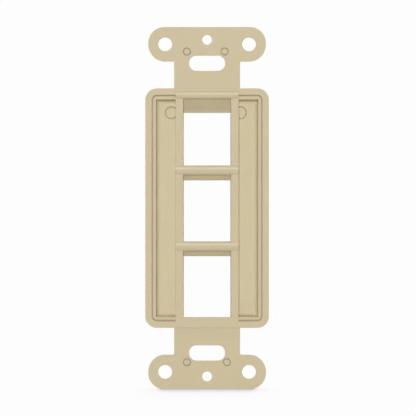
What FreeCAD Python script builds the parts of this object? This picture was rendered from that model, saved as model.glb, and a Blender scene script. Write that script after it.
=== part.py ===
import FreeCAD, Part
import math
import os
import Sketcher

# Three-port decorator insert for snap-in jacks: one moulding, seen from behind in its reference view.
# X is to the right as seen from behind, Y runs from the rear to the front face, and Z is up.
# The origin is the middle of the two box screw slots, on the strap's rear face, which lies on the box.

NODE = "keystone_insert"
TOLERANCE = 1e-4

# Driving dimensions, in millimetres and degrees, from the ports outwards
SIZES = {
    # Ports: openings for the jacks, with a web between two and a wall beyond the last
    "port_width": 13.4,
    "port_draft": 0.22,
    "aperture_height": 19.2,
    "web_height": 2.66,
    "port_end_wall": 1.89,

    # Port frame: the column of solid wall that crosses the hollow and holds the ports
    "jamb_width": 2.375,
    "rib_height": 0.6,
    "top_rib_width": 2.15,

    # Catch in each port's ceiling: a ramp that the jack's latch rides over
    "catch_start": 2.4,
    "catch_angle": 45,
    "catch_drop": 1.6,
    "top_catch_drop": 4.0,
    "latch_room": 1.4,
    "window_edge_radius": 0.3,

    # Face block: the front part of the body, which fills the wall plate's opening
    "face_width": 33.2,
    "face_radius": 2.2,
    "face_proud": 5.8,
    "face_edge_radius": 0.8,
    "front_wall": 2.0,

    # Hollow behind the face: a deep channel on each side of the frame, with a wider step at the rim
    # and a fine groove round the step's foot
    "side_wall": 1.95,
    "end_wall": 2.15,
    "channel_fillet": 1.5,
    "side_ledge": 1.25,
    "end_ledge": 1.33,
    "step_radius": 1.5,
    "step_depth": 0.8,
    "step_groove_width": 0.36,
    "step_groove_depth": 0.7,

    # Flange: the wide rear part of the body, which stays behind the wall plate
    "flange_side_lip": 1.15,
    "flange_end_lip": 1.05,
    "flange_radius": 3.3,
    "rear_proud": 0.8,

    # Strap: the flat plate, whose necks leave the flange and end in eared tabs
    "strap_thickness": 1.8,
    "neck_width": 18.95,
    "neck_root_radius": 0.35,
    "ear_reach": 7.425,
    "ear_height": 9.9,
    "ear_side_flat": 0.45,
    "ear_outer_radius": 4.6,

    # Fixings, from the flange outwards: box screw slot, wall plate screw bore, end of the tab
    "slot_distance": 7.25,
    "slot_length": 10.3,
    "slot_height": 4.4,
    "slot_end_flat": 0.3,
    "screw_gap": 6.75,
    "plate_screw_bore": 2.85,
    "tab_end_margin": 3.65,
    "ear_hole_bore": 4.0,
    "ear_hole_margin": 4.85,

    # Ejector marks, each a fine sunk ring: four small ones by the slots, two large ones in the channels
    "strap_mark_bore": 2.3,
    "strap_mark_line": 0.3,
    "strap_mark_depth": 0.45,
    "strap_mark_left": 5.8,
    "upper_strap_mark_right": 5.05,
    "lower_strap_mark_right": 5.7,
    "upper_strap_mark_rise": 3.35,
    "lower_strap_mark_drop": 2.65,
    "channel_mark_bore": 3.74,
    "channel_mark_line": 0.34,
    "channel_mark_depth": 0.5,
    "left_channel_mark_gap": 1.225,
    "right_channel_mark_gap": 0.525,
    "channel_mark_rise": 27.5,

    # Overlap where one pad is buried in another, and how far a cut runs past a face
    "lap": 0.5,
}

doc = FreeCAD.newDocument("decorator_insert")
sheet = doc.addObject("Spreadsheet::Sheet", "sizes")
for number, (alias, size) in enumerate(SIZES.items(), 1):
    cell = "A%d" % number
    sheet.set(cell, str(size))
    sheet.setAlias(cell, alias)
doc.recompute()

# Distances in front of the strap's rear face
FACE_Y = "(sizes.strap_thickness + sizes.face_proud)"
FLOOR_Y = "(sizes.strap_thickness + sizes.face_proud - sizes.front_wall)"
RIM_Y = "(-sizes.rear_proud)"
LEDGE_Y = "(sizes.step_depth - sizes.rear_proud)"

# Widths, from the ports and the face block
FRAME_WIDTH = "(sizes.port_width + 2 * sizes.jamb_width)"
CHANNEL_WIDTH = "(sizes.face_width - 2 * sizes.side_wall)"
STEP_WIDTH = "(%s + 2 * sizes.side_ledge)" % CHANNEL_WIDTH
FLANGE_WIDTH = "(sizes.face_width + 2 * sizes.flange_side_lip)"
EAR_WIDTH = "(sizes.neck_width + 2 * sizes.ear_reach)"

# Heights of the body, from its stack of ports
PORT_PITCH = "(sizes.aperture_height + sizes.web_height)"
FACE_HEIGHT = "(2 * %s + sizes.aperture_height + 2 * sizes.port_end_wall)" % PORT_PITCH
CHANNEL_HEIGHT = "(%s - 2 * sizes.end_wall)" % FACE_HEIGHT
STEP_HEIGHT = "(%s + 2 * sizes.end_ledge)" % CHANNEL_HEIGHT
FLANGE_HEIGHT = "(%s + 2 * sizes.flange_end_lip)" % FACE_HEIGHT

# Heights above the middle in the upper neck and tab: 41.65, 48.4 and 52.05 mm as moulded
SLOT_Z = "(%s / 2 + sizes.slot_distance)" % FLANGE_HEIGHT
PLATE_SCREW_Z = "(%s + sizes.screw_gap)" % SLOT_Z
TAB_END_Z = "(%s + sizes.tab_end_margin)" % PLATE_SCREW_Z
EAR_Z = "(%s - sizes.ear_height / 2)" % TAB_END_Z

body = doc.addObject("PartDesign::Body", NODE)
body.Label = NODE
doc.recompute()


def value(expression):
    """Work out an expression on the sheet's sizes as a number."""
    result = sheet.evalExpression(expression.replace("sizes.", ""))
    return float(getattr(result, "Value", result))


def half(expression):
    return "(%s) / 2" % expression


def origin_plane(role):
    return [item for item in body.Origin.OriginFeatures if item.Role == role][0]


def new_sketch(name, role, **offsets):
    """A sketch on an origin plane; offsets are expressions along its own x, y and z."""
    sketch = body.newObject("Sketcher::SketchObject", name)
    sketch.AttachmentSupport = [(origin_plane(role), "")]
    sketch.MapMode = "FlatFace"
    for axis, expression in offsets.items():
        sketch.setExpression(".AttachmentOffset.Base.%s" % axis, expression)
    return sketch


def drive(sketch, kind, *arguments):
    """Add a constraint whose last argument is an expression on the sheet."""
    expression = arguments[-1]
    index = sketch.addConstraint(Sketcher.Constraint(kind, *arguments[:-1], value(expression)))
    sketch.renameConstraint(index, "size%d" % index)
    sketch.setExpression("Constraints.size%d" % index, expression)


def polygon(sketch, corners):
    """A closed outline through corners given as pairs of expressions."""
    places = [FreeCAD.Vector(value(x), value(y), 0) for x, y in corners]
    count = len(corners)
    first = sketch.GeometryCount
    for number in range(count):
        sketch.addGeometry(Part.LineSegment(places[number], places[(number + 1) % count]), False)
    for number, (x, y) in enumerate(corners):
        line = first + number
        following = first + (number + 1) % count
        sketch.addConstraint(Sketcher.Constraint("Coincident", line, 2, following, 1))
        drive(sketch, "DistanceX", -1, 1, line, 1, x)
        drive(sketch, "DistanceY", -1, 1, line, 1, y)


def rectangle(sketch, width, height):
    """A rectangle about the sketch's origin."""
    x, y = "(%s) / 2" % width, "(%s) / 2" % height
    polygon(sketch, [("-" + x, "-" + y), (x, "-" + y), (x, y), ("-" + x, y)])


def rounded_outline(sketch, width, height, upper_radius, lower_radius=None):
    """A rectangle about the sketch's origin, with one radius above and one below."""
    lower_radius = lower_radius or upper_radius
    first = sketch.GeometryCount
    x, y = value(width) / 2, value(height) / 2
    upper, lower = value(upper_radius), value(lower_radius)
    vector = FreeCAD.Vector
    lines = (
        (vector(upper - x, y, 0), vector(x - upper, y, 0)),
        (vector(x, y - upper, 0), vector(x, lower - y, 0)),
        (vector(x - lower, -y, 0), vector(lower - x, -y, 0)),
        (vector(-x, lower - y, 0), vector(-x, y - upper, 0)),
    )
    arcs = (
        (vector(x - upper, y - upper, 0), upper, 0),
        (vector(x - lower, lower - y, 0), lower, -math.pi / 2),
        (vector(lower - x, lower - y, 0), lower, math.pi),
        (vector(upper - x, y - upper, 0), upper, math.pi / 2),
    )
    for start, end in lines:
        sketch.addGeometry(Part.LineSegment(start, end), False)
    for centre, radius, angle in arcs:
        circle = Part.Circle(centre, vector(0, 0, 1), radius)
        sketch.addGeometry(Part.ArcOfCircle(circle, angle, angle + math.pi / 2), False)
    top, right, bottom, left = range(first, first + 4)
    upper_right, lower_right, lower_left, upper_left = range(first + 4, first + 8)
    joints = (
        (top, 2, upper_right, 2), (right, 1, upper_right, 1),
        (right, 2, lower_right, 2), (bottom, 1, lower_right, 1),
        (bottom, 2, lower_left, 2), (left, 1, lower_left, 1),
        (left, 2, upper_left, 2), (top, 1, upper_left, 1),
    )
    for joint in joints:
        sketch.addConstraint(Sketcher.Constraint("Tangent", *joint))
    for line in (top, bottom):
        sketch.addConstraint(Sketcher.Constraint("Horizontal", line))
    for line in (left, right):
        sketch.addConstraint(Sketcher.Constraint("Vertical", line))
    sketch.addConstraint(Sketcher.Constraint("Equal", upper_left, upper_right))
    sketch.addConstraint(Sketcher.Constraint("Equal", lower_left, lower_right))
    drive(sketch, "Radius", upper_right, upper_radius)
    drive(sketch, "Radius", lower_right, lower_radius)
    drive(sketch, "DistanceX", left, 1, -1, 1, "(%s) / 2" % width)
    drive(sketch, "DistanceX", -1, 1, right, 1, "(%s) / 2" % width)
    drive(sketch, "DistanceY", -1, 1, top, 1, "(%s) / 2" % height)
    drive(sketch, "DistanceY", bottom, 1, -1, 1, "(%s) / 2" % height)


def round_hole(sketch, x, y, bore):
    """A circle whose centre and diameter are expressions."""
    centre = FreeCAD.Vector(value(x), value(y), 0)
    circle = Part.Circle(centre, FreeCAD.Vector(0, 0, 1), value(bore) / 2)
    index = sketch.addGeometry(circle, False)
    drive(sketch, "DistanceX", -1, 1, index, 3, x)
    drive(sketch, "DistanceY", -1, 1, index, 3, y)
    drive(sketch, "Diameter", index, bore)


def ring(sketch, x, y, bore, line):
    """Two circles about one centre, one line width apart."""
    round_hole(sketch, x, y, bore)
    round_hole(sketch, x, y, "%s - 2 * %s" % (bore, line))


def pad(name, sketch, length, forward=True, both_sides=False):
    """Extrude a sketch: to the front, to the rear, or half to each side."""
    feature = body.newObject("PartDesign::Pad", name)
    feature.Profile = sketch
    feature.setExpression("Length", length)
    feature.Reversed = forward and not both_sides
    feature.Midplane = both_sides
    return finish(feature)


def pocket(name, sketch, depth):
    """Cut a sketch towards the front, by a depth."""
    before = body.Tip.Shape.Volume
    feature = body.newObject("PartDesign::Pocket", name)
    feature.Profile = sketch
    feature.setExpression("Length", depth)
    finish(feature)
    if feature.Shape.Volume > before - TOLERANCE:
        raise RuntimeError("%s cuts nothing" % name)
    return feature


def finish(feature):
    """Make the feature the tip and work it out, so that later features can read it."""
    body.Tip = feature
    doc.recompute()
    return feature


def edges(chosen):
    """Names of the tip's edges that a test on their box picks."""
    picked = []
    for number, edge in enumerate(body.Tip.Shape.Edges, 1):
        if chosen(edge.BoundBox):
            picked.append("Edge%d" % number)
    return picked


def in_plane(box, y):
    return abs(box.YMin - y) < TOLERANCE and abs(box.YMax - y) < TOLERANCE


def fillet(name, chosen, radius):
    base = body.Tip
    names = edges(chosen)
    feature = body.newObject("PartDesign::Fillet", name)
    feature.Base = (base, names)
    feature.setExpression("Radius", radius)
    return finish(feature)


def rear(distance):
    """Offset of a rear-facing sketch that lies this far in front of the strap's rear face."""
    return "-(%s)" % distance


# Neck: the middle of the strap, which runs through the body from tab to tab
neck = new_sketch("neck_outline", "XZ_Plane")
rectangle(neck, "sizes.neck_width", "2 * %s" % EAR_Z)
pad("neck", neck, "sizes.strap_thickness")

# Tab at the top, then its mirror image at the bottom
tab = new_sketch("tab_outline", "XZ_Plane", y=EAR_Z)
rounded_outline(tab, EAR_WIDTH, "sizes.ear_height", "sizes.ear_outer_radius",
                "sizes.ear_height - sizes.ear_side_flat - sizes.ear_outer_radius")
tab_pad = pad("tab", tab, "sizes.strap_thickness")

slot = new_sketch("slot_outline", "XZ_Plane", y=SLOT_Z)
rounded_outline(slot, "sizes.slot_length", "sizes.slot_height",
                "(sizes.slot_height - sizes.slot_end_flat) / 2")
slot_cut = pocket("slot", slot, "sizes.strap_thickness")

screw = new_sketch("plate_screw_outline", "XZ_Plane")
round_hole(screw, "0", PLATE_SCREW_Z, "sizes.plate_screw_bore")
screw_cut = pocket("plate_screw", screw, "sizes.strap_thickness")

ear_holes = new_sketch("ear_hole_outline", "XZ_Plane")
for side in ("-", ""):
    round_hole(ear_holes, "%s(%s - sizes.ear_hole_margin)" % (side, half(EAR_WIDTH)), EAR_Z,
               "sizes.ear_hole_bore")
ear_cut = pocket("ear_holes", ear_holes, "sizes.strap_thickness")

mirror = body.newObject("PartDesign::Mirrored", "lower_tab")
mirror.Originals = [tab_pad, slot_cut, screw_cut, ear_cut]
mirror.MirrorPlane = (origin_plane("XY_Plane"), [""])
finish(mirror)


def at_neck_root(box):
    upright = box.YLength > value("sizes.strap_thickness") - TOLERANCE
    at_side = abs(abs(box.Center.x) - value(half("sizes.neck_width"))) < TOLERANCE
    ear_foot = value("%s - sizes.ear_height" % TAB_END_Z)
    return upright and at_side and abs(abs(box.Center.z) - ear_foot) < TOLERANCE


fillet("neck_roots", at_neck_root, "sizes.neck_root_radius")

# Flange and face block, solid for now
flange = new_sketch("flange_outline", "XZ_Plane", z=rear(RIM_Y))
rounded_outline(flange, FLANGE_WIDTH, FLANGE_HEIGHT, "sizes.flange_radius")
pad("flange", flange, "sizes.rear_proud + sizes.strap_thickness")

face = new_sketch("face_outline", "XZ_Plane", z=rear("sizes.strap_thickness"))
rounded_outline(face, "sizes.face_width", FACE_HEIGHT, "sizes.face_radius")
pad("face", face, "sizes.face_proud")
fillet("face_edge", lambda box: in_plane(box, value(FACE_Y)), "sizes.face_edge_radius")

# Stepped hollow
step = new_sketch("step_outline", "XZ_Plane", z=rear(RIM_Y))
rounded_outline(step, STEP_WIDTH, STEP_HEIGHT, "sizes.step_radius")
pocket("step", step, "sizes.step_depth")

groove = new_sketch("step_groove_outline", "XZ_Plane", z=rear(LEDGE_Y))
rounded_outline(groove, STEP_WIDTH, STEP_HEIGHT, "sizes.step_radius")
rounded_outline(groove, "%s - 2 * sizes.step_groove_width" % STEP_WIDTH,
                "%s - 2 * sizes.step_groove_width" % STEP_HEIGHT,
                "sizes.step_radius - sizes.step_groove_width")
pocket("step_groove", groove, "sizes.step_groove_depth")

channel = new_sketch("channel_outline", "XZ_Plane", z=rear(LEDGE_Y))
rectangle(channel, CHANNEL_WIDTH, CHANNEL_HEIGHT)
pocket("channel", channel, "%s - %s" % (FLOOR_Y, LEDGE_Y))
fillet("channel_foot", lambda box: in_plane(box, value(FLOOR_Y)), "sizes.channel_fillet")

marks = new_sketch("channel_mark_outline", "XZ_Plane", z=rear(FLOOR_Y))
for side, gap in (("-", "sizes.left_channel_mark_gap"), ("", "sizes.right_channel_mark_gap")):
    ring(marks, "%s(%s + %s)" % (side, half(FRAME_WIDTH), gap), "sizes.channel_mark_rise",
         "sizes.channel_mark_bore", "sizes.channel_mark_line")
pocket("channel_marks", marks, "sizes.channel_mark_depth")

# Port frame, flush with the rim
frame = new_sketch("frame_outline", "XZ_Plane", z=rear(RIM_Y))
rectangle(frame, FRAME_WIDTH, "%s + 2 * sizes.lap" % STEP_HEIGHT)
pad("frame", frame, "%s - %s + sizes.lap" % (FLOOR_Y, RIM_Y))

TOP_CEILING = "(%s + sizes.aperture_height / 2)" % PORT_PITCH
MIDDLE_CEILING = "(sizes.aperture_height / 2)"
BOTTOM_CEILING = "(sizes.aperture_height / 2 - %s)" % PORT_PITCH


def rib_section(sketch, foot, width):
    """The low rounded section of a rib, from its lower foot up, with its root in the frame."""
    bend = "((%s) ^ 2 / 4 + sizes.rib_height ^ 2) / (2 * sizes.rib_height)" % width
    centre_y = "%s - sizes.rib_height + %s" % (RIM_Y, bend)
    centre_z = "%s + %s / 2" % (foot, width)
    head = "%s + %s" % (foot, width)
    root_y = "%s + sizes.lap" % RIM_Y
    corners = ((RIM_Y, foot), (root_y, foot), (root_y, head), (RIM_Y, head))
    places = [FreeCAD.Vector(value(y), value(z), 0) for y, z in corners]
    centre = FreeCAD.Vector(value(centre_y), value(centre_z), 0)
    circle = Part.Circle(centre, FreeCAD.Vector(0, 0, 1), value(bend))
    angle = math.asin(value(width) / 2 / value(bend))
    first = sketch.addGeometry(Part.ArcOfCircle(circle, math.pi - angle, math.pi + angle), False)
    for start, end in zip(places, places[1:]):
        sketch.addGeometry(Part.LineSegment(start, end), False)
    for number in range(4):
        following = first + (number + 1) % 4
        sketch.addConstraint(Sketcher.Constraint("Coincident", first + number, 2, following, 1))
    for number, (y, z) in enumerate(corners):
        line, end = first + min(number + 1, 3), 2 if number == 3 else 1
        drive(sketch, "DistanceX", -1, 1, line, end, y)
        drive(sketch, "DistanceY", -1, 1, line, end, z)
    drive(sketch, "DistanceX", -1, 1, first, 3, centre_y)


# One rib over each port
ribs = new_sketch("rib_sections", "YZ_Plane")
rib_section(ribs, TOP_CEILING, "sizes.top_rib_width")
rib_section(ribs, MIDDLE_CEILING, "sizes.web_height")
rib_section(ribs, BOTTOM_CEILING, "sizes.web_height")
pad("ribs", ribs, FRAME_WIDTH, both_sides=True)

# Three ports, a little wider at the rear than at the front face
uncut = body.Tip.Shape.Volume
port = body.newObject("PartDesign::SubtractiveWedge", "bottom_port")
port.setExpression("Ymin", "%s - sizes.rib_height - sizes.lap" % RIM_Y)
port.setExpression("Ymax", "%s + sizes.lap" % FACE_Y)
for end, side in (("min", "-"), ("max", "")):
    port.setExpression("X" + end, "%s(sizes.port_width / 2 + sizes.port_draft)" % side)
    port.setExpression("X2" + end, "%ssizes.port_width / 2" % side)
for end in ("Z", "Z2"):
    port.setExpression(end + "min", "%s - sizes.aperture_height" % BOTTOM_CEILING)
    port.setExpression(end + "max", BOTTOM_CEILING)
finish(port)
column = body.newObject("PartDesign::LinearPattern", "port_column")
column.Originals = [port]
column.Direction = (origin_plane("XY_Plane"), [""])
column.Occurrences = 3
column.setExpression("Length", "2 * %s" % PORT_PITCH)
finish(column)
if column.Shape.Volume > uncut - 3 * value("sizes.port_width * sizes.aperture_height"):
    raise RuntimeError("the ports are not cut")


def catch_section(sketch, ceiling, drop, front=None):
    """The section of a catch: a ramp down from the ceiling, then the window's upper wall."""
    start = "(%s + sizes.catch_start)" % RIM_Y
    end = "(%s + %s / tan(sizes.catch_angle * 1deg))" % (start, drop)
    corners = [(start, "sizes.lap"), (start, "0"), (end, "-" + drop)]
    if front:
        corners += [(front, "-" + drop), (front, "-sizes.catch_drop")]
    corners += [(FACE_Y, "-sizes.catch_drop"), (FACE_Y, "sizes.lap")]
    polygon(sketch, [(y, "%s + %s" % (ceiling, z)) for y, z in corners])


catches = new_sketch("catch_sections", "YZ_Plane")
catch_section(catches, TOP_CEILING, "sizes.top_catch_drop", "%s - sizes.latch_room" % FACE_Y)
catch_section(catches, MIDDLE_CEILING, "sizes.catch_drop")
catch_section(catches, BOTTOM_CEILING, "sizes.catch_drop")
pad("catches", catches, "sizes.port_width + 2 * (sizes.port_draft + sizes.lap)", both_sides=True)


def at_window(box):
    frame_side = value(half(FRAME_WIDTH))
    return in_plane(box, value(FACE_Y)) and abs(box.XMin) < frame_side and abs(box.XMax) < frame_side


fillet("window_edges", at_window, "sizes.window_edge_radius")

# Ejector marks in the strap's rear face
strap_marks = new_sketch("strap_mark_outline", "XZ_Plane")
UPPER_MARK_Z = "%s + sizes.upper_strap_mark_rise" % SLOT_Z
LOWER_MARK_Z = "-%s - sizes.lower_strap_mark_drop" % SLOT_Z
for across, height in (("-sizes.strap_mark_left", UPPER_MARK_Z),
                       ("sizes.upper_strap_mark_right", UPPER_MARK_Z),
                       ("-sizes.strap_mark_left", LOWER_MARK_Z),
                       ("sizes.lower_strap_mark_right", LOWER_MARK_Z)):
    ring(strap_marks, across, height, "sizes.strap_mark_bore", "sizes.strap_mark_line")
pocket("strap_marks", strap_marks, "sizes.strap_mark_depth")

doc.recompute()
for item in doc.Objects:
    if "Invalid" in item.State or "Error" in item.State:
        raise RuntimeError("%s is not worked out: %s" % (item.Name, item.State))
shape = body.Shape
if shape.isNull() or not shape.isValid() or len(shape.Solids) != 1:
    raise RuntimeError("the moulding is not one valid solid")
box = shape.BoundBox
print("volume %.1f mm3, X %.2f to %.2f, Y %.2f to %.2f, Z %.2f to %.2f" % (
    shape.Volume, box.XMin, box.XMax, box.YMin, box.YMax, box.ZMin, box.ZMax))
os.makedirs("parts", exist_ok=True)
shape.exportStep("parts/%s.step" % NODE)
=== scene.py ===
import math

import bpy
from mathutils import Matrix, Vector


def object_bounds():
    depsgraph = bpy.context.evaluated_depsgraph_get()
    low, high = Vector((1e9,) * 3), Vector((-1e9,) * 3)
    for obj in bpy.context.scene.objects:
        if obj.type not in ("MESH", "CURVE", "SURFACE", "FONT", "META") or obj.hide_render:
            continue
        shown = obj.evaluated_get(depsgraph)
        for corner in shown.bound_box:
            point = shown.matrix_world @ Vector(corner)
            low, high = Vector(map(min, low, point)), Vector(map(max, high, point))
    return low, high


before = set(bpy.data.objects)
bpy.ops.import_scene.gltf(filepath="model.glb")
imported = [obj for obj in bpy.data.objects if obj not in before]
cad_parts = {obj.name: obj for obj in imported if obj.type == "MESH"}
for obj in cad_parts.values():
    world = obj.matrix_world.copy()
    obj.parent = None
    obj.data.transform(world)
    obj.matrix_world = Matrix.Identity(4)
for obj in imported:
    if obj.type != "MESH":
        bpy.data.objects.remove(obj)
cad_low, cad_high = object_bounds()

# Everything is in metres, in the part's own frame: X right, Y from the rear to the front face, Z up.
MM = 0.001
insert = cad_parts["keystone_insert"]

# Camera: square to the strap from behind, far off, so that the view has almost no perspective
VIEW_DISTANCE = 1.4
VIEW_SPAN = 119.56 * MM
VIEW_CENTRE = Vector((0.26 * MM, 0, 0.03 * MM))
VIEW_START = 0.1
VIEW_END = 20

# Light: each lamp's width and height, its rise over the part and its turn from the camera's side in
# degrees, and its level on a white card. Lamps stand at LAMP_DISTANCE, apart from the one with a distance
# of its own. The main and front lamps are left out of gloss, and the gloss lamp is seen in gloss alone.
LAMP_DISTANCE = 2.4
LAMPS = {
    "main_lamp": {
        "width": 0.18, "height": 0.37, "rise": 3.2, "turn": -1, "level": 0.75, "glossy": False,
    },
    "gloss_lamp": {
        "width": 0.13, "height": 0.13, "rise": 36, "turn": 0, "level": 0.6, "diffuse": False,
        "distance": 0.62,
    },
    "left_lamp": {"width": 1.3, "height": 1.3, "rise": 25, "turn": -94, "level": 0.55},
    "right_lamp": {"width": 1.3, "height": 1.3, "rise": 25, "turn": 94, "level": 0.55},
    "front_lamp": {
        "width": 1.6, "height": 1.6, "rise": 25, "turn": 172, "level": 0.75, "glossy": False,
    },
}

# Surroundings: white to the eye, and dim as a source of light
ROOM_LEVEL = 0.05
BACKGROUND = 0.982
WHITE = (1, 1, 1, 1)

# Floor: pale paper, level behind the part and falling towards the camera in front of it
FLOOR_SPAN = 4.0
FLOOR_FALL = math.radians(15)
FLOOR_COLOUR = (0.43, 0.43, 0.43, 1)
FLOOR_GLOW = 0.98

# Contact shadow: a dark one close by and a faint wide one. Each has its full depth out to SHADOW_FULL on
# both sides of the middle, under the tab's straight end, and fades to its depth beside the tab.
SHADOW_FULL = 12.2 * MM
SHADOW_ENDS = 14.6 * MM
SHADOW_SAMPLES = 16
SHADOWS = (
    {"reach": 4.5 * MM, "depth": 1.0, "beside": 0.16},
    {"reach": 14 * MM, "depth": 0.15, "beside": 0.1},
)

# Moulded plastic: ivory and satin
IVORY = (0.63, 0.54, 0.352, 1)
SHADE = (0.595, 0.505, 0.326, 1)
ROUGHNESS = 0.46
GLOSS = 0.45
EDGE_ROUNDING = 0.1 * MM
EDGE_SAMPLES = 6

# Its tone drifts in clouds, and its surface has a fine grain
CLOUD_SIZE = 9 * MM
CLOUD_DETAIL = 3
GRAIN_SIZE = 0.22 * MM
GRAIN_DETAIL = 2
GRAIN_DEPTH = 0.004 * MM

# The thin front wall passes some light. On its rear side, told by its depth and by the way that it faces,
# that light is painted into the colour, lighter and cooler. The mould leaves that side rougher than the
# other faces.
THIN_WALL_START = 4.5 * MM
THIN_WALL_END = 5.2 * MM
FACING_REAR_START = -0.2
FACING_REAR_END = -0.6
THIN_WALL_PAINTED_LIGHT = (1.075, 1.12, 1.17)
NO_PAINTED_LIGHT = (1, 1, 1)
HOLLOW_ROUGHNESS = 0.8

# Painted shade: the colour darkens in narrow grooves, the more closed in the darker, so their lines look
# darker
GROOVE_REACH = 0.45 * MM
GROOVE_OPEN = 0.7
GROOVE_CLOSED = 0.1
GROOVE_SHADE = 0.3
GROOVE_SAMPLES = 8


def aim(thing, target):
    """Turn a lamp or camera so that it looks at a point."""
    direction = target - thing.location
    thing.rotation_mode = "QUATERNION"
    thing.rotation_quaternion = direction.to_track_quat("-Z", "Y")


def make_camera():
    data = bpy.data.cameras.new("photo_camera")
    data.lens = data.sensor_width * VIEW_DISTANCE / VIEW_SPAN
    data.clip_start = VIEW_START
    data.clip_end = VIEW_END
    camera = bpy.data.objects.new("photo_camera", data)
    camera.location = VIEW_CENTRE - Vector((0, VIEW_DISTANCE, 0))
    aim(camera, VIEW_CENTRE)
    bpy.context.scene.collection.objects.link(camera)
    bpy.context.scene.camera = camera


def make_lamp(name, width, height, rise, turn, level, diffuse=True, glossy=True, distance=LAMP_DISTANCE):
    """A lamp that gives a white card facing it this level; turn 0 is the side that the camera is on."""
    data = bpy.data.lights.new(name, "AREA")
    data.shape = "RECTANGLE"
    data.size = width
    data.size_y = height
    data.energy = level * math.pi ** 2 * distance ** 2
    lamp = bpy.data.objects.new(name, data)
    lamp.visible_diffuse = diffuse
    lamp.visible_glossy = glossy
    rise, turn = math.radians(rise), math.radians(turn)
    across = math.cos(rise)
    direction = Vector((math.sin(turn) * across, -math.cos(turn) * across, math.sin(rise)))
    lamp.location = distance * direction
    aim(lamp, Vector((0, 0, 0)))
    bpy.context.scene.collection.objects.link(lamp)


def maths(tree, operation, *sources):
    """What an operation makes of one or more numbers or sockets."""
    node = tree.nodes.new("ShaderNodeMath")
    node.operation = operation
    for source, socket in zip(sources, node.inputs):
        if isinstance(source, bpy.types.NodeSocket):
            tree.links.new(source, socket)
        else:
            socket.default_value = source
    return node.outputs[0]


def ramp(tree, value, start=0, end=1, low=0, high=1):
    """Low until the value reaches the start, high from its end on, and even between them."""
    node = tree.nodes.new("ShaderNodeMapRange")
    node.inputs["From Min"].default_value = start
    node.inputs["From Max"].default_value = end
    node.inputs["To Min"].default_value = low
    node.inputs["To Max"].default_value = high
    tree.links.new(value, node.inputs["Value"])
    return node.outputs["Result"]


def mixed(tree, kind, share, first, second):
    """A colour or vector between two, by the share of the second."""
    node = tree.nodes.new("ShaderNodeMix")
    node.data_type = kind
    node.inputs["A"].default_value = first
    node.inputs["B"].default_value = second
    tree.links.new(share, node.inputs["Factor"])
    return node.outputs["Result"]


def along(tree, vector, axis):
    """One coordinate of a vector."""
    node = tree.nodes.new("ShaderNodeSeparateXYZ")
    tree.links.new(vector, node.inputs[0])
    return node.outputs[axis]


def noise(tree, place, size, detail):
    """Soft random patches of about this size, from 0 to 1."""
    node = tree.nodes.new("ShaderNodeTexNoise")
    node.inputs["Scale"].default_value = 1 / size
    node.inputs["Detail"].default_value = detail
    tree.links.new(place, node.inputs["Vector"])
    return node.outputs["Fac"]


def openness(tree, reach, samples, own_part_only=False):
    """1 where nothing stands within the reach, and less in a gap or a corner."""
    node = tree.nodes.new("ShaderNodeAmbientOcclusion")
    node.only_local = own_part_only
    node.samples = samples
    node.inputs["Distance"].default_value = reach
    return node.outputs["AO"]


def seen_ray(tree):
    """1 for the rays that show a surface to the eye: straight, in a reflection or through glass."""
    path = tree.nodes.new("ShaderNodeLightPath")
    seen = path.outputs["Is Camera Ray"]
    for ray in ("Is Glossy Ray", "Is Transmission Ray"):
        seen = maths(tree, "MAXIMUM", seen, path.outputs[ray])
    return seen


def make_room():
    """White surroundings: full white to the eye and in reflections, softer as light."""
    world = bpy.data.worlds.new("white_room")
    world.use_nodes = True
    bpy.context.scene.world = world
    tree = world.node_tree
    tree.nodes.clear()
    background = tree.nodes.new("ShaderNodeBackground")
    background.inputs["Color"].default_value = WHITE
    level = ramp(tree, seen_ray(tree), low=ROOM_LEVEL, high=BACKGROUND)
    tree.links.new(level, background.inputs["Strength"])
    output = tree.nodes.new("ShaderNodeOutputWorld")
    tree.links.new(background.outputs[0], output.inputs["Surface"])


def paper():
    """White paper: matte as the light meets it, and to the eye a glow with the contact shadow in it."""
    material = bpy.data.materials.new("white_paper")
    material.use_nodes = True
    tree = material.node_tree
    tree.nodes.clear()
    matte = tree.nodes.new("ShaderNodeBsdfDiffuse")
    matte.inputs["Color"].default_value = FLOOR_COLOUR

    geometry = tree.nodes.new("ShaderNodeNewGeometry")
    aside = maths(tree, "ABSOLUTE", along(tree, geometry.outputs["Position"], "X"))
    strength = FLOOR_GLOW
    for shadow in SHADOWS:
        depth = ramp(tree, aside, SHADOW_FULL, SHADOW_ENDS, shadow["depth"], shadow["beside"])
        shaded = maths(tree, "POWER", openness(tree, shadow["reach"], SHADOW_SAMPLES), depth)
        strength = maths(tree, "MULTIPLY", shaded, strength)
    glow = tree.nodes.new("ShaderNodeEmission")
    tree.links.new(strength, glow.inputs["Strength"])

    either = tree.nodes.new("ShaderNodeMixShader")
    tree.links.new(seen_ray(tree), either.inputs["Fac"])
    tree.links.new(matte.outputs[0], either.inputs[1])
    tree.links.new(glow.outputs[0], either.inputs[2])
    output = tree.nodes.new("ShaderNodeOutputMaterial")
    tree.links.new(either.outputs[0], output.inputs["Surface"])
    return material


def make_floor():
    """Two flat sheets that meet in a fold along X, under the origin."""
    level = cad_low.z
    reach = FLOOR_SPAN / 2
    profile = (
        (reach, level),
        (0, level),
        (-reach, level - reach * math.tan(FLOOR_FALL)),
    )
    corners = [(x, y, z) for y, z in profile for x in (-reach, reach)]
    faces = [(0, 2, 3, 1), (2, 4, 5, 3)]
    mesh = bpy.data.meshes.new("floor")
    mesh.from_pydata(corners, [], faces)
    mesh.materials.append(paper())
    floor = bpy.data.objects.new("floor", mesh)
    bpy.context.scene.collection.objects.link(floor)


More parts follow.
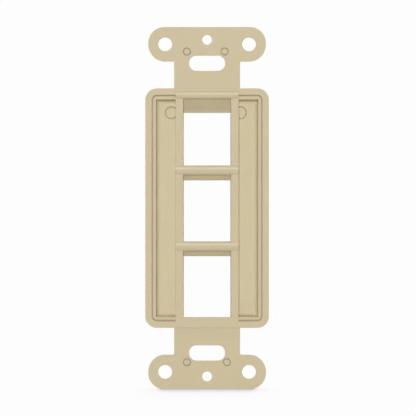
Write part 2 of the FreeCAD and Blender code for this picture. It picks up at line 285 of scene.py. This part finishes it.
def plastic_colour(tree, place, thin):
    """The cloudy ivory, with painted light behind the thin wall and painted shade in narrow grooves."""
    clouds = noise(tree, place.outputs["Object"], CLOUD_SIZE, CLOUD_DETAIL)
    painted_light_colour = tree.nodes.new("ShaderNodeVectorMath")
    painted_light_colour.operation = "MULTIPLY"
    tree.links.new(mixed(tree, "RGBA", clouds, SHADE, IVORY), painted_light_colour.inputs[0])
    # painted light: behind the thin wall the colour is lifted lighter and cooler
    tree.links.new(mixed(tree, "VECTOR", thin, NO_PAINTED_LIGHT, THIN_WALL_PAINTED_LIGHT), painted_light_colour.inputs[1])

    # painted shade: darker where a narrow groove or corner closes in
    gap = openness(tree, GROOVE_REACH, GROOVE_SAMPLES, own_part_only=True)
    groove_shaded = tree.nodes.new("ShaderNodeVectorMath")
    groove_shaded.operation = "SCALE"
    tree.links.new(painted_light_colour.outputs[0], groove_shaded.inputs[0])
    tree.links.new(ramp(tree, gap, GROOVE_CLOSED, GROOVE_OPEN, low=GROOVE_SHADE), groove_shaded.inputs["Scale"])
    return groove_shaded.outputs[0]


def plastic_surface(tree, place):
    """The fine grain, over edges that catch the light as slightly rounded ones do."""
    edge = tree.nodes.new("ShaderNodeBevel")
    edge.samples = EDGE_SAMPLES
    edge.inputs["Radius"].default_value = EDGE_ROUNDING
    bump = tree.nodes.new("ShaderNodeBump")
    bump.inputs["Distance"].default_value = GRAIN_DEPTH
    grain = noise(tree, place.outputs["Object"], GRAIN_SIZE, GRAIN_DETAIL)
    tree.links.new(grain, bump.inputs["Height"])
    tree.links.new(edge.outputs["Normal"], bump.inputs["Normal"])
    return bump.outputs["Normal"]


def moulded_plastic():
    """Satin ivory plastic with cloudy tone, fine grain and slightly softened edges."""
    material = bpy.data.materials.new("ivory_plastic")
    material.use_nodes = True
    tree = material.node_tree
    place = tree.nodes.new("ShaderNodeTexCoord")
    deep = ramp(tree, along(tree, place.outputs["Object"], "Y"), THIN_WALL_START, THIN_WALL_END)
    rear = ramp(tree, along(tree, place.outputs["Normal"], "Y"), FACING_REAR_START, FACING_REAR_END)
    thin = maths(tree, "MULTIPLY", deep, rear)
    roughness = ramp(tree, thin, low=ROUGHNESS, high=HOLLOW_ROUGHNESS)

    shader = tree.nodes["Principled BSDF"]
    shader.inputs["Specular IOR Level"].default_value = GLOSS
    tree.links.new(roughness, shader.inputs["Roughness"])
    tree.links.new(plastic_colour(tree, place, thin), shader.inputs["Base Color"])
    tree.links.new(plastic_surface(tree, place), shader.inputs["Normal"])
    return material


def dress(node, material):
    """Give every slot of a CAD node the same material."""
    if not node.material_slots:
        node.data.materials.append(material)
    for slot in node.material_slots:
        slot.material = material


make_camera()
for name, lamp in LAMPS.items():
    make_lamp(name, **lamp)
make_room()
make_floor()
dress(insert, moulded_plastic())

bpy.context.scene.view_settings.view_transform = "Standard"
